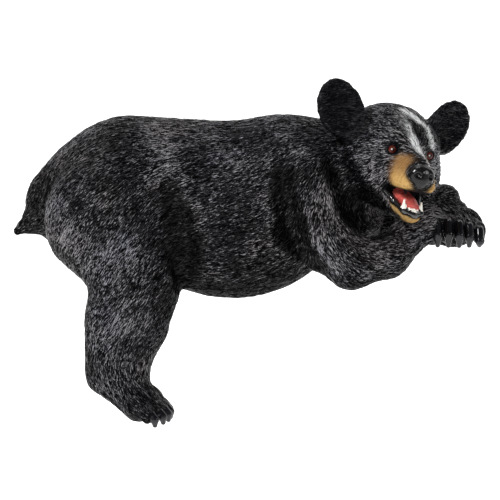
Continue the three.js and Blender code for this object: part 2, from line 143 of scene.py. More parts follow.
def hind_right():
    """The hanging leg: its furred form, and its claws."""
    # Forward, side and up of the foot.
    f, s, u = vec(0.835, -0.17, -0.523), vec(0.5, 0.85, 0.2), vec(0.454, -0.435, 0.767)
    heel = vec(-205, -84, -169)
    sole = heel + 68 * f
    haunch = blend(
        25,
        ball((-192, -60, 56), (86, 62, 90)),
        limb((-196, -68, 46), (-152, -78, -34), 84, 48, 0.72),
    )
    shin = blend(
        20,
        limb((-161, -80, -38), (-173, -84, -92), 61, 52, 0.7),
        limb((-173, -84, -92), (-186, -86, -146), 52, 38, 0.72),
    )
    instep = limb((-186, -86, -140), heel + 45 * f + 6 * u, 38, 26, 0.85)
    foot = blend(14, limb(heel, sole, 23, 19), limb(sole - 16 * s, sole + 16 * s, 18, 18))
    toes, claws = [], []
    for i in range(-2, 3):
        knuckle = vec(-124.5 + 4.5 * i - 2.1 * i * i, -101 + 11.5 * i, -212 + 1.2 * i)
        toes.append(limb(knuckle - 24 * f, knuckle, 13, 10.5))
        root = knuckle + 5 * f + 4 * u
        bend = root + vec(4, -2, -5)
        tip = bend + vec(0.5, 1, -8)
        claws.append(blend(3, limb(root, bend, 6.2, 5.8), limb(bend, tip, 5.8, 3.6)))
    leg = blend(14, blend(20, blend(18, haunch, shin), instep), foot)
    return blend(5, leg, *toes), claws


def hind_left():
    """The leg tucked up on the ledge: its furred form, and its claws."""
    thigh = blend(
        25,
        ball((-180, 46, 62), (84, 50, 80)),
        limb((-175, 58, 62), (-98, 74, 44), 56, 38, 0.8),
    )
    foot = limb((-165, 90, 20), (-92, 94, 14), 24, 19)
    toes, claws = [], []
    for i in range(-2, 3):
        x, y = -72 - 2 * abs(i), 94 + 9 * i
        toes.append(limb((-92, y, 12), (x, y, 11), 11, 9))
        bend = (x + 16, y, 7)
        claws.append(blend(3, limb((x + 6, y, 11), bend, 4.5, 3), limb(bend, (x + 20, y, 2), 3, 1.5)))
    return blend(5, blend(18, thigh, foot), *toes), claws


def fore_right():
    """The near arm, crossed over the far one: its furred form, and its claws."""
    upper = blend(
        25,
        limb((76, -68, 112), (102, -78, 30), 38, 42, 0.9),
        limb((102, -78, 30), (140, -98, -6), 42, 31, 0.9),
    )
    lower = blend(
        14,
        limb((140, -100, -8), (190, -90, 4), 31, 28),
        limb((190, -90, 4), (243, -58, 46), 28, 25),
        limb((243, -58, 46), (276, -14, 74), 25, 23),
    )
    # The paw's wrist, and its forward and side.
    wrist, f, s = vec(276, -14, 74), vec(0.42, 0.86, -0.28), vec(0.72, -0.5, -0.48)
    toes, claws = [], []
    for i in range(-2, 3):
        base = wrist + 11 * i * s + 6 * f
        knuckle = base + (18 - 2 * abs(i)) * f + vec(0, 0, 3)
        toes.append(limb(base, knuckle, 12, 10))
        root = knuckle + 8 * f + vec(0, 0, -3)
        bend = root + 6 * f + vec(0, 0, -12)
        tip = bend - 2 * f + vec(0, 0, -12)
        claws.append(blend(3, limb(root, bend, 5, 4), limb(bend, tip, 4, 1.6)))
    return blend(5, blend(14, upper, lower), *toes), claws


def fore_left():
    """The far arm: its furred form, and its claws."""
    upper = blend(25, ball((60, 52, 84), (60, 46, 78)), limb((84, 64, 58), (146, 84, 30), 48, 30, 0.9))
    lower = blend(
        14,
        limb((148, 84, 28), (214, 50, 26), 30, 27),
        limb((214, 50, 26), (262, 4, 36), 27, 25),
        limb((262, 4, 36), (286, -40, 38), 25, 26),
    )
    toes, claws = [], []
    for i in range(-2, 3):
        x, y, top = 290 + 14.5 * i, 3 * abs(i), 54 - 1.1 * (i + 1) ** 2
        knuckle, end = (x, y - 70, top - 6), (x, y - 76, top - 16)
        toes += [limb((290 + 10 * i, -48, top - 2), knuckle, 12, 10), limb(knuckle, end, 10, 8.5)]
        root, bend = (x, y - 80, top - 6), (x, y - 89, top - 20)
        claws.append(blend(3, limb(root, bend, 6.6, 6.2), limb(bend, (x, y - 86, 18), 6.2, 3.4)))
    back = ball((291, -34, 40), (38, 30, 28))
    return blend(4, blend(10, blend(14, upper, lower), back), *toes), claws


def creases():
    """Grooves where the thigh and the upper arm meet the flank, and the hollow between arm and cheek."""
    thigh = [
        limb((-110, -107, 102), (-98, -109, 55), 6, 12),
        limb((-98, -109, 55), (-91, -107, 15), 12, 14),
        limb((-91, -107, 15), (-91, -92, -40), 14, 8),
    ]
    arm = [
        limb((45, -101, 122), (50, -104, 80), 6, 11),
        limb((50, -104, 80), (57, -105, 40), 11, 13),
        limb((57, -105, 40), (90, -106, -14), 13, 11),
    ]
    cheek = [
        limb((116, -84, 152), (130, -95, 114), 7, 14),
        limb((130, -95, 114), (148, -99, 76), 14, 21),
        limb((148, -99, 76), (178, -98, 52), 21, 17),
    ]
    return blend(12, *thigh, *arm, *cheek)


# The head has its own frame: left, forward, up. Both halves are alike.
HEAD_C = vec(194, -40, 137)
EYE = vec(28.5, 58, 13)


def head_axes(yaw, pitch, roll):
    m = Matrix.Rotation(math.radians(yaw), 3, "Z")
    m = m @ Matrix.Rotation(math.radians(pitch), 3, "X")
    m = m @ Matrix.Rotation(math.radians(roll), 3, "Y")
    return (np.array(m) @ np.diag([1, -1, 1])).astype(F4)


AXES = head_axes(22, 1, 10.5)


def head_local(p):
    return (p - HEAD_C) @ AXES


def ear_parts():
    """One ear, turned and leaning outwards: its shell, and the hollow cut into it."""
    turn, lean = math.radians(7), math.radians(32)
    n = vec(math.sin(turn), math.cos(turn), 0)
    out = vec(math.cos(turn), -math.sin(turn), 0)
    up = vec(0, 0, 1)
    long = out * math.sin(lean) + up * math.cos(lean)
    wide = out * math.cos(lean) - up * math.sin(lean)
    axes = np.stack([wide, n, long], 1).astype(F4)
    shell = blend(16, ball((86, -2, 56), (32, 14, 42), axes), limb((50, -4, 30), (74, 0, 44), 26, 20))
    hollow = ball(vec(88, 0, 58) + 10 * n, (25, 11, 34), axes)
    return shell, hollow


EAR_SHELL, EAR_HOLLOW = ear_parts()
NOSE = blend(
    5,
    ball((0, 105, -11), (16.5, 12, 11)),
    ball((0, 106, -20), (12, 12, 12)),
    ball((9, 106, -15), (9, 9.5, 10)),
)
NOSTRIL = ball((10, 117, -15), (4.4, 6, 3.6))
TONGUE = blend(3, limb((0, 44, -51), (0, 72, -57), 17, 13), ball((0, 80, -60), (14, 8, 7)))
# A lower and an upper canine, then three lower incisors.
TEETH = [limb((13, 83, -64), (13.5, 85.5, -51.5), 3.6, 1.1), limb((15, 91, -36), (15, 92.5, -42), 3, 1.2)]
TEETH += [limb((x, 87 - 0.05 * x * x, -68), (x, 88 - 0.05 * x * x, -64), 2.2, 1.8) for x in (2.1, 6.2, 10)]
# Rim of the lower lip, from the mouth's corner to the front.
LIP = blend(
    3,
    limb((26, 55, -45), (20, 63, -54.5), 3, 3.6),
    limb((20, 63, -54.5), (13.5, 84, -66.5), 3.6, 3.6),
    limb((13.5, 84, -66.5), (0, 91.5, -70), 3.6, 3.6),
)
LIDS = ball(EYE + vec(0, -3, 0), (12.5, 11.4, 11.5))
LID_OPENING = ball(EYE + vec(1, 9.5, 0), (7.6, 6.5, 5.8))


def mouth(m):
    """The open mouth: a wedge between palate and lower jaw, narrowing back to its corners."""
    palate = m[:, 2] + 37 + 0.04 * (m[:, 1] - 45)
    jaw_top = (-42 - 0.6 * (m[:, 1] - 45) - m[:, 2]) / 1.166
    corner = (42 + 0.5 * m[:, 0] - m[:, 1]) / 1.118
    return -join(7, join(7, -palate, -jaw_top), -corner)


def face():
    skull = blend(
        20,
        ball((0, -6, 10), (70, 74, 66)),
        ball((32, 8, -22), (42, 52, 44)),
        ball((0, 30, 26), (42, 36, 28)),
    )
    muzzle = blend(
        12,
        limb((0, 44, -10), (0, 86, -19), 36, 21),
        limb((0, 44, 12), (0, 94, -5), 20, 14),
        ball((13, 86, -26), (17, 24, 13)),
    )
    jaw = limb((0, 20, -42), (0, 77, -67), 34, 15.5)
    brow = limb((14, 60, 26), (42, 44, 22), 9, 8)
    return blend(8, blend(10, blend(16, skull, muzzle), jaw), brow)


FACE = face()


def folded(p):
    """Head coordinates, the left half folded onto the right, shifted where the jaw hangs to the left."""
    m = head_local(p)
    sway = 0.2 * np.clip(-25 - m[:, 2], 0, 45) * np.clip((m[:, 1] - 20) / 40, 0, 1)
    m[:, 0] = np.abs(m[:, 0] - sway)
    return m


def head(p):
    """The whole head: skull, jaw, tongue, lip, teeth, nose, lids and ears."""
    m = folded(p)
    h = carve(4, FACE(m), mouth(m))
    h = join(3, join(3, h, TONGUE(m)), LIP(m))
    for tooth in TEETH:
        h = join(2, h, tooth(m))
    h = carve(2, join(3, h, NOSE(m)), NOSTRIL(m))
    h = carve(1.5, join(4, h, LIDS(m)), LID_OPENING(m))
    return join(8, h, carve(10, EAR_SHELL(m), EAR_HOLLOW(m)))


LEG_R, CLAWS_A = hind_right()
LEG_L, CLAWS_B = hind_left()
ARM_R, CLAWS_C = fore_right()
ARM_L, CLAWS_D = fore_left()
TRUNK = torso()
CREASES = creases()
LIMBS = [
    (9, near((-180, -70, -60), 210, LEG_R)),
    (12, near((-150, 60, 50), 150, LEG_L)),
    (10, near((160, 20, 60), 190, ARM_L)),
    (8, near((160, -60, 50), 190, ARM_R)),
    (8, near(HEAD_C, 150, head)),
]
CLAW_GROUPS = [
    near(c, 70, blend(0.5, *claws), 10)
    for c, claws in (
        ((-140, -100, -205), CLAWS_A),
        ((-60, 94, 8), CLAWS_B),
        ((300, 20, 60), CLAWS_C),
        ((290, -80, 30), CLAWS_D),
    )
]


def coat(p):
    """The furred form, without claws."""
    d = TRUNK(p)
    for k, part in LIMBS:
        d = join(k, d, part(p))
    return carve(14, d, CREASES(p))


def claw_field(p):
    """All claws."""
    d = CLAW_GROUPS[0](p)
    for g in CLAW_GROUPS[1:]:
        d = np.minimum(d, g(p))
    return d


def ledge_field(p):
    """Below 0 inside the shelf or ledge that the bear lies on."""
    return np.maximum(p[:, 2], LEDGE_FRONT_Y - p[:, 1])


def bear(p):
    """The whole casting, cut level and upright by the ledge."""
    d = join(1.5, coat(p), claw_field(p))
    return np.maximum(d, -ledge_field(p))


# Meshing

def in_chunks(fn, p, size=200000):
    return np.concatenate([fn(p[a:a + size]) for a in range(0, len(p), size)])


def volume_of(field, lo, hi, step, levels=(16, 4, 1), margin=1.45):
    """Samples on a grid, coarse to fine, looking again only within margin cells of the surface."""
    lo = np.array(lo, float)
    counts = [int(np.ceil((h - l) / step / levels[0])) * levels[0] + 1 for l, h in zip(lo, hi)]

    def sample(cells, stride):
        values = in_chunks(lambda c: field((lo + c * (step * stride)).astype(F4)), cells, 300000)
        return values.astype(F4, copy=False)

    shape = tuple((n - 1) // levels[0] + 1 for n in counts)
    vol = sample(np.indices(shape).reshape(3, -1).T, levels[0]).reshape(shape)
    for coarse, fine in zip(levels, levels[1:]):
        ratio = coarse // fine
        rows = []
        for n, old in zip(counts, vol.shape):
            places = np.arange((n - 1) // fine + 1)
            rows.append(np.minimum((places + ratio // 2) // ratio, old - 1))
        vol = vol[np.ix_(*rows)]
        close = np.abs(vol) < coarse * step * margin
        vol[close] = sample(np.argwhere(close), fine)
    return lo, vol


def crossing_places(vol, cells):
    """Mean place, within each cell, of where the surface crosses the cell's edges."""
    total = np.zeros((len(cells), 3), F4)
    hits = np.zeros(len(cells), F4)
    for ax in range(3):
        others = [k for k in range(3) if k != ax]
        for corner in np.ndindex(2, 2):
            start = np.zeros(3, int)
            start[others] = corner
            end = start.copy()
            end[ax] = 1
            a = vol[tuple((cells + start).T)]
            b = vol[tuple((cells + end).T)]
            cross = (a < 0) != (b < 0)
            place = np.tile(start.astype(F4), (len(cells), 1))
            place[:, ax] = np.where(cross, a / np.where(cross, a - b, 1), 0)
            total += place * cross[:, None]
            hits += cross
    return total / hits[:, None]


def net_quads(neg, index):
    """One quad round each grid edge that the surface crosses, wound to face outwards."""
    quads = []
    for ax in range(3):
        others = [k for k in range(3) if k != ax]
        first = [slice(None)] * 3
        second = [slice(None)] * 3
        first[ax], second[ax] = slice(0, -1), slice(1, None)
        a, b = neg[tuple(first)], neg[tuple(second)]
        edge = np.argwhere(a != b)
        edge = edge[np.all(edge[:, others] > 0, axis=1)]
        inside_first = a[tuple(edge.T)]

        def cell(du, dv):
            k = edge.copy()
            k[:, others[0]] -= du
            k[:, others[1]] -= dv
            return index[tuple(k.T)]

        quad = np.stack([cell(1, 1), cell(0, 1), cell(0, 0), cell(1, 0)], 1)
        keep = inside_first if ax != 1 else ~inside_first
        quad[~keep] = quad[~keep][:, ::-1]
        quads.append(quad)
    return np.concatenate(quads)


def surface_nets(lo, vol, step):
    """One vertex to each cell the surface crosses, one quad to each edge it crosses."""
    neg = vol < 0
    shape = [s - 1 for s in vol.shape]
    count = np.zeros(shape, np.int8)
    for c in np.ndindex(2, 2, 2):
        count += neg[tuple(slice(o, o + s) for o, s in zip(c, shape))]
    active = (count > 0) & (count < 8)
    cells = np.argwhere(active)
    index = np.full(shape, -1, np.int32)
    index[active] = np.arange(len(cells), dtype=np.int32)
    verts = (lo + (cells + crossing_places(vol, cells)) * step).astype(F4)
    return verts, net_quads(neg, index)


def gradient(field, p, e=0.6):
    """Unit normals of a field, by differences over e to either side."""
    g = np.empty_like(p)
    for k in range(3):
        step = np.zeros(3, F4)
        step[k] = e
        g[:, k] = field(p + step) - field(p - step)
    return g / np.maximum(np.linalg.norm(g, axis=1, keepdims=True), 1e-9)


def smooth_bear():
    """The cast form before carving: vertices drawn onto the surface, quads and normals."""
    lo, vol = volume_of(bear, BOX_LOW, BOX_HIGH, GRID)
    verts, quads = surface_nets(lo, vol, GRID)
    normals = in_chunks(lambda q: gradient(bear, q), verts)
    off = in_chunks(bear, verts)
    return verts - normals * np.clip(off, -1, 1)[:, None] * 0.9, quads, normals


def smooth(x, a, b):
    """0 up to a, 1 from b, with soft ends."""
    t = np.clip((x - a) / (b - a), 0, 1)
    return t * t * (3 - 2 * t)


def window(x, a, b, soft):
    """1 between a and b, fading out over soft."""
    return smooth(x, a - soft, a + soft) * smooth(-x, -b - soft, -b + soft)


# Guide hairs give the coat its flow: place, direction and reach.
GUIDES = [
    ((-20, 0, 190), (-1, 0, -0.05), 90),
    ((-160, 0, 190), (-1, 0, -0.1), 80),
    ((-270, 0, 130), (-0.55, 0, -0.85), 70),
    ((-320, 0, 50), (-0.9, 0, -0.45), 50),
    ((-40, -100, 90), (-1, 0, -0.35), 80),
    ((0, -100, 0), (-1, 0, -0.25), 80),
    ((-60, -80, -50), (-1, 0, -0.1), 60),
    ((-200, -110, 110), (-0.75, 0, -0.65), 70),
    ((-210, -110, 20), (-0.5, 0, -0.86), 60),
    ((-150, -110, -40), (-0.6, 0, -0.8), 55),
    ((-170, -100, -110), (-0.6, 0, -0.8), 50),
    ((-190, -90, -165), (0.2, 0, -1), 40),
    ((-150, -100, -190), (0.8, -0.1, -0.6), 40),
    ((40, -90, 130), (-0.8, 0, -0.6), 60),
    ((90, -110, 60), (0.1, 0, -1), 50),
    ((120, -120, 0), (0.75, 0, -0.65), 45),
    ((190, -100, 0), (0.85, 0.1, 0.1), 45),
    ((240, -70, 40), (0.75, 0.2, 0.25), 40),
    ((275, -30, 80), (0.5, 0.8, -0.1), 40),
    ((300, -60, 50), (0.1, -0.7, -0.7), 35),
    ((120, -60, 110), (-0.3, 0, -1), 45),
    ((0, 100, 80), (-1, 0, -0.35), 90),
    ((-200, 90, 80), (-0.6, 0, -0.8), 80),
    ((-120, 100, 30), (0.9, 0, -0.3), 50),
    ((110, 90, 70), (0.3, 0, -0.95), 60),
    ((210, 60, 30), (0.85, -0.5, 0), 50),
]


def flow_at(p, normals):
    """Unit direction of the hair at p, in the surface; on the head it runs back from the nose."""
    total = np.zeros_like(p)
    for place, direction, reach in GUIDES:
        w = np.exp(-((p - vec(*place)) ** 2).sum(-1) / (reach * reach)) + 1e-7
        d = vec(*direction)
        total += w[:, None] * (d / np.linalg.norm(d))
    total /= np.maximum(np.linalg.norm(total, axis=1, keepdims=True), 1e-9)
    m = head_local(p)
    from_nose = m - vec(0, 100, -10)
    from_nose[:, 2] *= 1.1
    outward = from_nose @ AXES.T
    outward /= np.maximum(np.linalg.norm(outward, axis=1, keepdims=True), 1e-9)
    on_head = np.clip(1.6 - np.linalg.norm(m / vec(110, 105, 100), axis=1) * 1.4, 0, 1)[:, None]
    total = total * (1 - on_head) + outward * on_head
    total -= (total * normals).sum(-1, keepdims=True) * normals
    return total / np.maximum(np.linalg.norm(total, axis=1, keepdims=True), 1e-6)


# Random lattice for the carving noise. LATTICE_START keeps its places above 0.
LATTICE_SIZE = 64
LATTICE = np.random.default_rng(11).random((LATTICE_SIZE,) * 3).astype(F4)
LATTICE_START = 400


def noise_at(p, cell):
    """Trilinear value noise, 0 to 1."""
    q = p / cell + LATTICE_START
    i = np.floor(q).astype(np.int32)
    f = q - i
    f = f * f * (3 - 2 * f)
    out = np.zeros(len(p), F4)
    for c in np.ndindex(2, 2, 2):
        w = np.ones(len(p), F4)
        for k in range(3):
            w *= f[:, k] if c[k] else 1 - f[:, k]
        x, y, z = ((i + c) % LATTICE_SIZE).T
        out += w * LATTICE[x, y, z]
    return out


def strokes(p, flow, cell, length, taps=9):
    """Noise smeared along the flow into strokes, about -1 to 1."""
    total = np.zeros(len(p), F4)
    for t in np.linspace(-0.5, 0.5, taps):
        bent = p + flow * (t * length)
        total += noise_at(bent, cell)
    total /= taps
    total = (total - total.mean()) / total.std()
    return np.tanh(1.3 * total)


# Carved hair in millimetres: cell and length of the two stroke sizes, depth, and how far
# from the ledge the seat is kept flat.
FINE_STROKE = (2.1, 8)
COARSE_STROKE = (4.2, 14)
HAIR_DEPTH = 0.8
SEAT_REACH = 0.9


def fur_amount(m, verts, ledge, gape):
    """1 where the coat is carved, fading out at the seat, claws, nose, mouth and eyes."""
    fur = smooth(ledge, 0.6, 6) * smooth(in_chunks(claw_field, verts), 0.5, 4)
    fur *= smooth(NOSE(m), 0.5, 5) * smooth(gape, 1.5, 7)
    fur *= smooth(LID_OPENING(m), 1.5, 6)
    return fur


def hair_relief(m, verts, flow, fur):
    """Height of the carved hair, lower on the muzzle."""
    head_near = smooth(-np.linalg.norm(m, axis=1), -120, -80)
    muzzle = smooth(m[:, 1], 55, 80) * (np.abs(m[:, 0]) < 50) * head_near
    fine = strokes(verts, flow, *FINE_STROKE)
    coarse = strokes(verts + 31, flow, *COARSE_STROKE)
    return (0.8 * fine + 0.4 * coarse) * fur * (1 - 0.55 * muzzle)


def flatten_seat(verts, ledge):
    """Puts what rests on the ledge back onto the ledge's two planes."""
    seat = np.abs(ledge) < SEAT_REACH
    for axis, plane in ((2, 0.0), (1, LEDGE_FRONT_Y)):
        flat = seat & (np.abs(verts[:, axis] - plane) < SEAT_REACH)
        verts[flat, axis] = plane


# Materials

class Graph:
    """A new material, with small helpers that wire its shader nodes."""

    def __init__(self, name):
        self.material = bpy.data.materials.new(name)
        self.material.use_nodes = True
        self.nodes = self.material.node_tree.nodes
        self.links = self.material.node_tree.links
        self.shader = self.nodes["Principled BSDF"]

    def put(self, socket, value):
        if isinstance(value, bpy.types.NodeSocket):
            self.links.new(value, socket)
        else:
            socket.default_value = value

    def surface(self, name, value):
        """Wires or sets one input of the surface."""
        self.put(self.shader.inputs[name], value)

    def math(self, op, a, b=0.0, c=None):
        n = self.nodes.new("ShaderNodeMath")
        n.operation = op
        self.put(n.inputs[0], a)
        self.put(n.inputs[1], b)
        if c is not None:
            self.put(n.inputs[2], c)
        return n.outputs[0]

    def length(self, a, b):
        """Root of a squared plus b squared."""
        return self.math("SQRT", self.math("ADD", self.math("MULTIPLY", a, a), self.math("MULTIPLY", b, b)))

    def clamp(self, value):
        n = self.nodes.new("ShaderNodeClamp")
        self.put(n.inputs[0], value)
        return n.outputs[0]

    def vector(self, op, a, b=None, scale=None):
        n = self.nodes.new("ShaderNodeVectorMath")
        n.operation = op
        self.put(n.inputs[0], a)
        if b is not None:
            self.put(n.inputs[1], b)
        if scale is not None:
            self.put(n.inputs["Scale"], scale)
        return n.outputs[0]

    def attribute(self, name, kind="Fac"):
        n = self.nodes.new("ShaderNodeAttribute")
        n.attribute_name = name
        return n.outputs[kind]

    def noise(self, vector, scale, detail=1.0):
        n = self.nodes.new("ShaderNodeTexNoise")
        self.put(n.inputs["Vector"], vector)
        n.inputs["Scale"].default_value = scale
        n.inputs["Detail"].default_value = detail
        return n.outputs["Fac"]

    def ramp(self, value, *stops):
        n = self.nodes.new("ShaderNodeValToRGB")
        while len(n.color_ramp.elements) < len(stops):
            n.color_ramp.elements.new(0.5)
        for element, (position, colour) in zip(n.color_ramp.elements, stops):
            element.position = position
            element.color = (*colour, 1)
        self.put(n.inputs[0], value)
        return n.outputs[0]

    def mix(self, fac, a, b):
        """Colour a where fac is 0, b where it is 1."""
        n = self.nodes.new("ShaderNodeMix")
        n.data_type = "RGBA"
        self.put(n.inputs[0], fac)
        self.put(n.inputs[6], a if isinstance(a, bpy.types.NodeSocket) else (*a, 1))
        self.put(n.inputs[7], b if isinstance(b, bpy.types.NodeSocket) else (*b, 1))
        return n.outputs[2]

    def bump(self, height, strength, distance):
        n = self.nodes.new("ShaderNodeBump")
        n.inputs["Strength"].default_value = strength
        n.inputs["Distance"].default_value = distance
        self.put(n.inputs["Height"], height)
        return n.outputs[0]

    def position(self):
        return self.nodes.new("ShaderNodeTexCoord").outputs["Object"]


# Brush strokes of the paint: grain of the noise, length in metres, and where along it
# the noise is read.
STROKE_GRAIN = 980
STROKE_LENGTH = 0.0042
STROKE_TAPS = (-0.5, -0.33, -0.16, 0.0, 0.16, 0.33, 0.5)

# Black coat from the bottom of a groove to a dry-brushed tip, and its two tints.
COAT_STOPS = (
    (0.0, (0.0012, 0.0012, 0.0014)),
    (0.3, (0.0045, 0.0045, 0.005)),
    (0.62, (0.022, 0.022, 0.0245)),
    (1.0, (0.21, 0.212, 0.225)),
)
COLD_TINT = (0.97, 0.99, 1.06)
WARM_TINT = (1.15, 0.98, 0.84)

# Face paint.
TAN_STOPS = ((0.15, (0.13, 0.062, 0.016)), (0.75, (0.50, 0.31, 0.11)))
RUST = (0.11, 0.04, 0.014)
WHITE = (0.58, 0.585, 0.59)
BLACK = (0.003, 0.003, 0.004)


def brush_strokes(g, place):
    """Fine noise drawn out along the hair's flow, centred on 0.5."""
    flow = g.attribute("flow", "Vector")
    total = 0.0
    for tap in STROKE_TAPS:
        at = g.vector("ADD", place, g.vector("SCALE", flow, scale=STROKE_LENGTH * tap))
        total = g.math("ADD", g.noise(at, STROKE_GRAIN, 0.0), total)
    return g.math("MULTIPLY_ADD", total, 6.0 / len(STROKE_TAPS), -2.5)


def coat_colour(g, place, raised):
    """Black coat, greyer on raised strokes and where the grey attribute lays brushed grey and painted
    highlights, darker with its painted shade, warmer in patches.
    """
    wash = g.math("MULTIPLY_ADD", g.noise(place, 15, 5.0), 1.4, -0.7)
    # Brushed grey with painted highlights and painted shade, plus a random wash.
    brush_and_light = g.math("ADD", g.attribute("grey"), wash)
    brush = g.math("ADD", raised, g.math("SUBTRACT", brush_and_light, 0.39))
    warmth = g.math("MULTIPLY_ADD", g.noise(place, 8, 3.0), 1.6, -0.5)
    return g.vector("MULTIPLY", g.ramp(brush, *COAT_STOPS), g.mix(warmth, COLD_TINT, WARM_TINT))


def face_paint(g, colour, raised):
    """Tan with its rust edge, then the white runs with their painted highlight, then the black of mouth,
    lips, ears, eye rims and stripe with painted shade in the ear hollows, over the coat.
    """
    tan = g.ramp(g.math("MULTIPLY_ADD", raised, 0.3, 0.5), *TAN_STOPS)
    rust = g.mix(0.15, RUST, tan)
    colour = g.mix(g.attribute("tan"), colour, g.mix(g.attribute("rust"), tan, rust))
    strength = g.math("MULTIPLY_ADD", raised, 2.0, 0.3)
    white = g.clamp(g.math("MULTIPLY", g.attribute("white"), strength))
    colour = g.mix(white, colour, WHITE)
    return g.mix(g.attribute("dark"), colour, BLACK)


def coat_material():
    g = Graph("painted_coat")
    place = g.position()
    stroke = brush_strokes(g, place)
    relief = g.attribute("relief")
    raised = g.math("ADD", g.math("MULTIPLY", relief, 0.14), stroke)
    g.surface("Base Color", face_paint(g, coat_colour(g, place, raised), raised))
    g.surface("Roughness", g.math("MULTIPLY_ADD", stroke, -0.05, 0.36))
    g.surface("Specular IOR Level", g.clamp(g.math("MULTIPLY_ADD", raised, 0.3, -0.1)))
    ridges = g.math("ADD", stroke, g.math("MULTIPLY", relief, 0.2))
    g.surface("Normal", g.bump(ridges, 0.7, 0.0006))
    return g.material


# Glossy painted parts: material, darkest and lightest colour, roughness, grain, bump, specular.
GLOSS = {
    "claw": ("claw_black", (0.001, 0.001, 0.002), (0.008, 0.008, 0.011), 0.06, 60, 0.1, 0.35),
    "nose": ("nose_black", (0.001, 0.001, 0.001), (0.010, 0.010, 0.010), 0.06, 240, 0.6, 0.28),
    "lip": ("lip_black", (0.003, 0.003, 0.003), (0.015, 0.014, 0.015), 0.0, 90, 0.05, 0.8),
    "tongue": ("tongue_pink", (0.28, 0.03, 0.025), (0.56, 0.11, 0.09), 0.25, 220, 0.3, 0.3),
    "teeth": ("tooth_white", (0.70, 0.66, 0.56), (0.86, 0.84, 0.78), 0.2, 90, 0.05, 0.3),
}


def gloss_material(name, low, high, rough, grain, bump, specular):
    g = Graph(name)
    n = g.noise(g.position(), grain, 3.0)
    g.surface("Base Color", g.ramp(n, (0.3, low), (0.75, high)))
    g.surface("Roughness", g.math("MULTIPLY_ADD", n, 0.15, rough))
    g.surface("Normal", g.bump(n, bump, 0.001))
    g.surface("Specular IOR Level", specular)
    return g.material


# Eye paint from the sight line outwards, in shares of the eye's radius, and the painted
# highlight beside the sight line, a painted reflection of the lamp: its place, how sharply it ends, and its
# colour.
IRIS_STOPS = (
    (0.0, (0.004, 0.002, 0.002)),
    (0.26, (0.006, 0.002, 0.002)),
    (0.34, (0.05, 0.007, 0.004)),
    (0.52, (0.10, 0.012, 0.008)),
    (0.62, (0.03, 0.005, 0.004)),
    (0.70, (0.004, 0.003, 0.003)),
)
HIGHLIGHT_PLACE = (-0.165, 0.059)
HIGHLIGHT_EDGE = 11.9
HIGHLIGHT_COLOUR = (0.62, 0.50, 0.44)


def eye_material():
    """Domed eye: pupil, red-brown iris, dark rim and a painted highlight."""
    g = Graph("eye_acrylic")
    place = g.vector("SCALE", g.position(), scale=1 / in_metres(EYE_DIAMETER / 2))
    split = g.nodes.new("ShaderNodeSeparateXYZ")
    g.put(split.inputs[0], place)
    x, y, z = split.outputs
    fibre = g.noise(g.vector("NORMALIZE", place), 18, 2.0)
    ring = g.math("ADD", g.length(x, y), g.math("MULTIPLY_ADD", fibre, 0.12, -0.06))
    # Painted highlight: a pale spot standing in for the lamp's reflection on the eye.
    away = g.length(g.math("SUBTRACT", x, HIGHLIGHT_PLACE[0]), g.math("SUBTRACT", y, HIGHLIGHT_PLACE[1]))
    highlight = g.clamp(g.math("MULTIPLY_ADD", away, -HIGHLIGHT_EDGE, 2.1))
    g.surface("Base Color", g.mix(highlight, g.ramp(ring, *IRIS_STOPS), HIGHLIGHT_COLOUR))
    g.surface("Roughness", 0.08)
    g.surface("Specular IOR Level", 0.1)
    g.surface("Coat Weight", 0.2)
    g.surface("Coat Roughness", 0.02)
    return g.material


# Where the paint lies, painted highlights and painted shade among it

# Dry-brushed white runs on the forehead and bridge, partly a painted highlight along the bridge's ridge:
# places, width and strength.
WHITE_RUNS_AND_HIGHLIGHT = [
    ([(-4, 28, 69), (1, 36, 66), (10, 47, 58), (24, 51, 51), (29, 59, 39), (32, 62, 28)], 5.5, 0.9),
    ([(-8, 56, 46), (-6, 66, 34), (-4, 70, 30), (3, 78, 18), (8, 90, 8), (12, 103, 0)], 4.5, 1.0),
    ([(-4, 32, 68), (-12, 46, 56), (-12, 58, 42)], 6, 0.15),
]
# Dark stripe between the white runs: places and width.
STRIPE = ([(-1, 57, 52), (4, 65, 42), (13, 71, 30), (20, 70, 22)], 4)


def painted_parts(m, verts):
    """Which vertices belong to each glossy part. The upper canines stay as dark as the mouth."""
    teeth = np.minimum.reduce([tooth(m) for tooth in TEETH])
    return {
        "claw": (in_chunks(claw_field, verts) < 0.5) & (in_chunks(coat, verts) > -0.3),
        "nose": NOSE(m) < 1.2,
        "lip": (LIP(m) < 0.4) & (teeth > 0.4),
        "tongue": (TONGUE(m) < 0.8) & (m[:, 1] > 30),
        "teeth": (teeth < 0.5) & (m[:, 2] < -45),
    }


def streak(p, run, width):
    """Soft band along a run of places."""
    nearest = np.full(len(p), 1e9, F4)
    for a, b in zip(run, run[1:]):
        a, b = vec(*a), vec(*b)
        along = np.clip((p - a) @ (b - a) / ((b - a) @ (b - a)), 0, 1)
        nearest = np.minimum(nearest, np.linalg.norm(p - a - along[:, None] * (b - a), axis=1))
    return np.exp(-(nearest / width) ** 2)


def tan_mask(m):
    """Muzzle sides up to the bridge and the lip, and a band under the chin."""
    l, f, u = m.T
    sides = smooth(f, 64, 78) * smooth(-u, -14, -2) * smooth(l, 2, 9)
    sides *= smooth(NOSE(m), 1.5, 8) * smooth(u, -38, -34)
    sides *= 1 - 0.9 * smooth(f, 84, 97) * smooth(-l, -20, -9)
    below_jaw = -42 - 0.6 * (f - 45) - u
    chin = window(below_jaw, 4, 16, 2.5) * window(f, 60, 96, 6)
    return np.maximum(sides, 0.7 * chin)


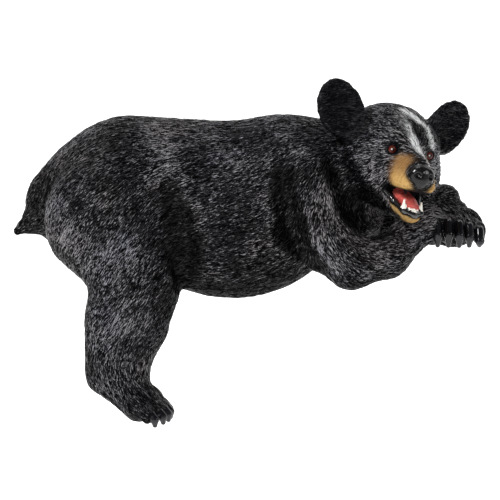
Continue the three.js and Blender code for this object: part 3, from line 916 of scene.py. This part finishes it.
def dark_mask(m, gape, stripe):
    """Mouth, lips, ear backs, eye rims and the stripe, and painted shade in the ear hollows."""
    lips = smooth(-gape, -3.4, -1.4) * (m[:, 1] > 30) * (m[:, 2] < -20)
    lips = np.maximum(lips, smooth(-LIP(m), -2.2, -0.8))
    rim = smooth(-LID_OPENING(m), -3.6, -1.2)
    # Painted shade: the ear hollows are darkened.
    hollows = smooth(-EAR_HOLLOW(m), -4, 2)
    ears = smooth(-EAR_SHELL(m), -6, -1)
    return np.maximum.reduce([lips, rim, 0.9 * hollows, 0.6 * ears, 0.8 * stripe])


def paint_masks(m, gape, verts):
    """How strongly each kind of face paint, painted highlight and painted shade among it, covers each
    vertex; m and gape are from before carving.
    """
    signed = in_chunks(head_local, verts)
    on_head = smooth(-in_chunks(head, verts), -3, -1)
    dark = dark_mask(m, gape, streak(signed, *STRIPE)) * on_head
    # White runs, partly a painted highlight along the bridge.
    white_and_highlight = sum(streak(signed, run, width) * amount for run, width, amount in WHITE_RUNS_AND_HIGHLIGHT) * on_head
    rust = smooth(-m[:, 1], -86, -68) * smooth(m[:, 2], -36, -28)
    return {
        "tan": tan_mask(m) * on_head,
        "rust": np.maximum(rust, 0.8 * smooth(m[:, 2], -28, -4)),
        "white": np.clip(white_and_highlight, 0, 1) * (1 - dark),
        "dark": dark,
    }


# Grey brushing, heaped where highlights fall on haunch, arm and leg, so partly a painted highlight: place,
# reach and amount. Below 0 it makes the coat darker.
BRUSH_AND_HIGHLIGHTS = [
    ((148, -110, 92), 40, 0.9),
    ((-258, -80, 75), 30, 0.6),
    ((-236, -105, 38), 30, 0.5),
    ((-212, -115, 0), 28, 0.5),
    ((-176, -125, 28), 26, 0.55),
    ((-116, -90, 145), 34, 0.3),
    ((-20, -100, 90), 70, -0.1),
    ((57, -100, 85), 28, 0.4),
    ((70, -115, 20), 32, 0.45),
    ((107, -120, -5), 30, 0.4),
    ((125, -80, 60), 16, 0.3),
    ((192, -115, -5), 35, 0.1),
    ((245, -70, 40), 35, 0.35),
    ((-200, -100, -185), 32, 0.3),
    ((-210, -100, -112), 40, 0.2),
    ((-160, -110, -100), 35, 0.15),
    ((265, -60, 70), 35, 0.2),
]
BARE_GREY = 0.08


def grey_brush_and_painted_light(m, verts, normals):
    """How much grey each vertex carries: brushing and painted highlights, less on the ears, with painted
    shade in the creases and on undersides.
    """
    total = np.full(len(verts), BARE_GREY, F4)
    for place, reach, amount in BRUSH_AND_HIGHLIGHTS:
        total += amount * np.exp(-((verts - vec(*place)) ** 2).sum(-1) / (reach * reach))
    on_head = smooth(-np.linalg.norm(m, axis=1), -110, -80)
    # On the head, grey is painted lighter on faces turned down and aside, and darker on faces turned up,
    # evening out the light from above.
    total = np.maximum(total, (0.46 - 0.3 * smooth(normals[:, 2], 0.0, 0.8)) * on_head)
    total -= 0.7 * smooth(-EAR_SHELL(m), -10, -2) * on_head
    # Painted shade: darker in the creases and on faces turned down.
    total -= 0.65 * smooth(-CREASES(verts), -15, -2)
    total -= 0.3 * smooth(-normals[:, 2], 0.2, 0.9)
    return total


# Objects

def add_object(name, data):
    obj = bpy.data.objects.new(name, data)
    bpy.context.scene.collection.objects.link(obj)
    return obj


def store(mesh, name, data):
    """Keeps one number, or one direction, to each vertex for the shader."""
    kind, field = ("FLOAT", "value") if data.ndim == 1 else ("FLOAT_VECTOR", "vector")
    attribute = mesh.attributes.new(name, kind, "POINT")
    attribute.data.foreach_set(field, np.ascontiguousarray(data, F4).ravel())


def assign_materials(mesh, parts, quads):
    """The coat everywhere, apart from quads that have most corners in a glossy part."""
    mesh.materials.append(coat_material())
    slot = np.zeros(len(mesh.vertices), np.int32)
    for number, (part, look) in enumerate(GLOSS.items(), 1):
        mesh.materials.append(gloss_material(*look))
        slot[parts[part]] = number
    corners = slot[quads]
    chosen = np.where((corners > 0).sum(1) >= 3, corners.max(1), 0).astype(np.int32)
    mesh.polygons.foreach_set("material_index", chosen)


def detail_weight(verts, normals):
    """How finely the mesh is kept: most at face and claws, least on the side away from the viewer."""
    face_near = smooth(-np.linalg.norm(in_chunks(head_local, verts) - vec(0, 70, -20), axis=1), -85, -45)
    claw_near = smooth(-in_chunks(claw_field, verts), -25, -5)
    to_viewer = 0.35 + 0.65 * smooth(-normals[:, 1], -0.6, 0.4)
    return np.clip(np.maximum.reduce([to_viewer * 0.6, face_near, claw_near]), 0.05, 1)


def thin_out(obj, weight, triangles):
    """Thins a mesh of so many triangles to TRIANGLES, least where the weight is high."""
    group = obj.vertex_groups.new(name="keep")
    for tenth in range(1, 11):
        ids = np.nonzero(np.round(weight * 10) == tenth)[0]
        if len(ids):
            group.add(ids.tolist(), tenth / 10, "REPLACE")
    if triangles <= TRIANGLES:
        return
    mod = obj.modifiers.new("thin", "DECIMATE")
    mod.ratio = TRIANGLES / triangles
    mod.vertex_group = "keep"
    mod.invert_vertex_group = True
    mod.vertex_group_factor = 1.0
    bpy.context.view_layer.objects.active = obj
    obj.select_set(True)
    bpy.ops.object.modifier_apply(modifier="thin")


def add_bear():
    """The painted casting: the plain form, its carved hair and its paint, then thinned."""
    plain, quads, normals = smooth_bear()
    m = in_chunks(folded, plain)
    gape = mouth(m)
    ledge = in_chunks(ledge_field, plain)
    flow = flow_at(plain, normals)
    fur = fur_amount(m, plain, ledge, gape)
    relief = hair_relief(m, plain, flow, fur)
    verts = plain + normals * relief[:, None] * HAIR_DEPTH
    flatten_seat(verts, ledge)
    mesh = bpy.data.meshes.new("bear_coat")
    mesh.from_pydata(in_metres(verts).tolist(), [], quads.tolist())
    masks = paint_masks(m, gape, verts)
    grey = grey_brush_and_painted_light(m, verts, normals) * fur * (1 - masks["dark"]) - 0.4 * masks["dark"]
    for name, data in {**masks, "relief": relief, "grey": grey, "flow": flow}.items():
        store(mesh, name, data)
    assign_materials(mesh, painted_parts(m, plain), quads)
    mesh.shade_smooth()
    obj = add_object("bear_coat", mesh)
    thin_out(obj, detail_weight(verts, normals), 2 * len(quads))
    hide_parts("bear_body")
    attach(obj, "root")


def add_eye(name, side, material):
    """Domed eye that looks along its own z; side is -1 for right and 1 for left."""
    centre = HEAD_C + AXES @ (EYE * vec(side, 1, 1))
    radius = in_metres(EYE_DIAMETER / 2)
    bpy.ops.mesh.primitive_uv_sphere_add(radius=radius, segments=64, ring_count=32)
    obj = bpy.context.object
    obj.name = name + "_dome"
    obj.data.name = obj.name
    sight = Vector((AXES @ vec(side * 0.12, 1, 0)).tolist())
    obj.rotation_mode = "QUATERNION"
    obj.rotation_quaternion = sight.to_track_quat("Z", "Y")
    obj.location = Vector(in_metres(centre).tolist())
    obj.data.materials.append(material)
    obj.data.shade_smooth()
    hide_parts(name)
    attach(obj, "root")


add_bear()
eye_mat = eye_material()
add_eye("eye_right", -1, eye_mat)
add_eye("eye_left", 1, eye_mat)

# Stage, lights and camera, in metres. The floor is flat to SWEEP_START, then curves up
# with SWEEP_RADIUS into the wall behind.
FLOOR_Z = -0.34
FLOOR_HALF_WIDTH = 9.0
FLOOR_FRONT = -6.0
SWEEP_START = 1.5
SWEEP_RADIUS = 1.5
WALL_HEIGHT = 7.0
CAMERA_ELEVATION = math.radians(8)
CAMERA_DISTANCE = 2.4
FRAME_WIDTH = 0.72
SENSOR_WIDTH = 36


def add_floor():
    """A pale sweep behind and under the bear."""
    rows = [(FLOOR_FRONT, 0.0), (SWEEP_START, 0.0)]
    for t in np.linspace(0, math.pi / 2, 17)[1:]:
        rows.append((SWEEP_START + SWEEP_RADIUS * math.sin(t), SWEEP_RADIUS - SWEEP_RADIUS * math.cos(t)))
    rows.append((SWEEP_START + SWEEP_RADIUS, WALL_HEIGHT))
    points = [(x, y, FLOOR_Z + z) for y, z in rows for x in (-FLOOR_HALF_WIDTH, FLOOR_HALF_WIDTH)]
    faces = [(2 * i, 2 * i + 1, 2 * i + 3, 2 * i + 2) for i in range(len(rows) - 1)]
    mesh = bpy.data.meshes.new("floor")
    mesh.from_pydata(points, [], faces)
    mesh.shade_smooth()
    g = Graph("floor_pale")
    g.surface("Base Color", (0.9, 0.9, 0.9, 1))
    g.surface("Roughness", 0.9)
    g.surface("Emission Color", (1, 1, 1, 1))
    g.surface("Emission Strength", 0.6)
    floor = add_object("floor", mesh)
    floor.data.materials.append(g.material)


def aim(obj, place, target=(0, 0, 0)):
    """Puts a light or camera at place, looking at target."""
    obj.location = place
    obj.rotation_mode = "QUATERNION"
    obj.rotation_quaternion = (Vector(target) - Vector(place)).to_track_quat("-Z", "Y")


def add_light(name, place, size, power):
    light = bpy.data.lights.new(name, "AREA")
    light.size = size
    light.energy = power
    aim(add_object(name, light), place)


add_floor()
add_light("key", (-1.3, -1.3, 2.0), 0.5, 75)
add_light("top", (0.3, 0.3, 2.6), 0.9, 18)
add_light("side", (2.2, -1.2, 0.9), 0.6, 14)
add_light("front", (-0.5, -2.3, 0.5), 0.22, 6)

scene = bpy.context.scene
world = bpy.data.worlds.new("studio")
scene.world = world
world.use_nodes = True
world.node_tree.nodes["Background"].inputs["Color"].default_value = (1, 1, 1, 1)
world.node_tree.nodes["Background"].inputs["Strength"].default_value = 0.12
scene.view_settings.view_transform = "Standard"

camera_data = bpy.data.cameras.new("camera")
camera_data.sensor_width = SENSOR_WIDTH
camera_data.lens = SENSOR_WIDTH * CAMERA_DISTANCE / FRAME_WIDTH
camera = add_object("camera", camera_data)
towards = Vector((0, -math.cos(CAMERA_ELEVATION), math.sin(CAMERA_ELEVATION)))
aim(camera, towards * CAMERA_DISTANCE)
scene.camera = camera
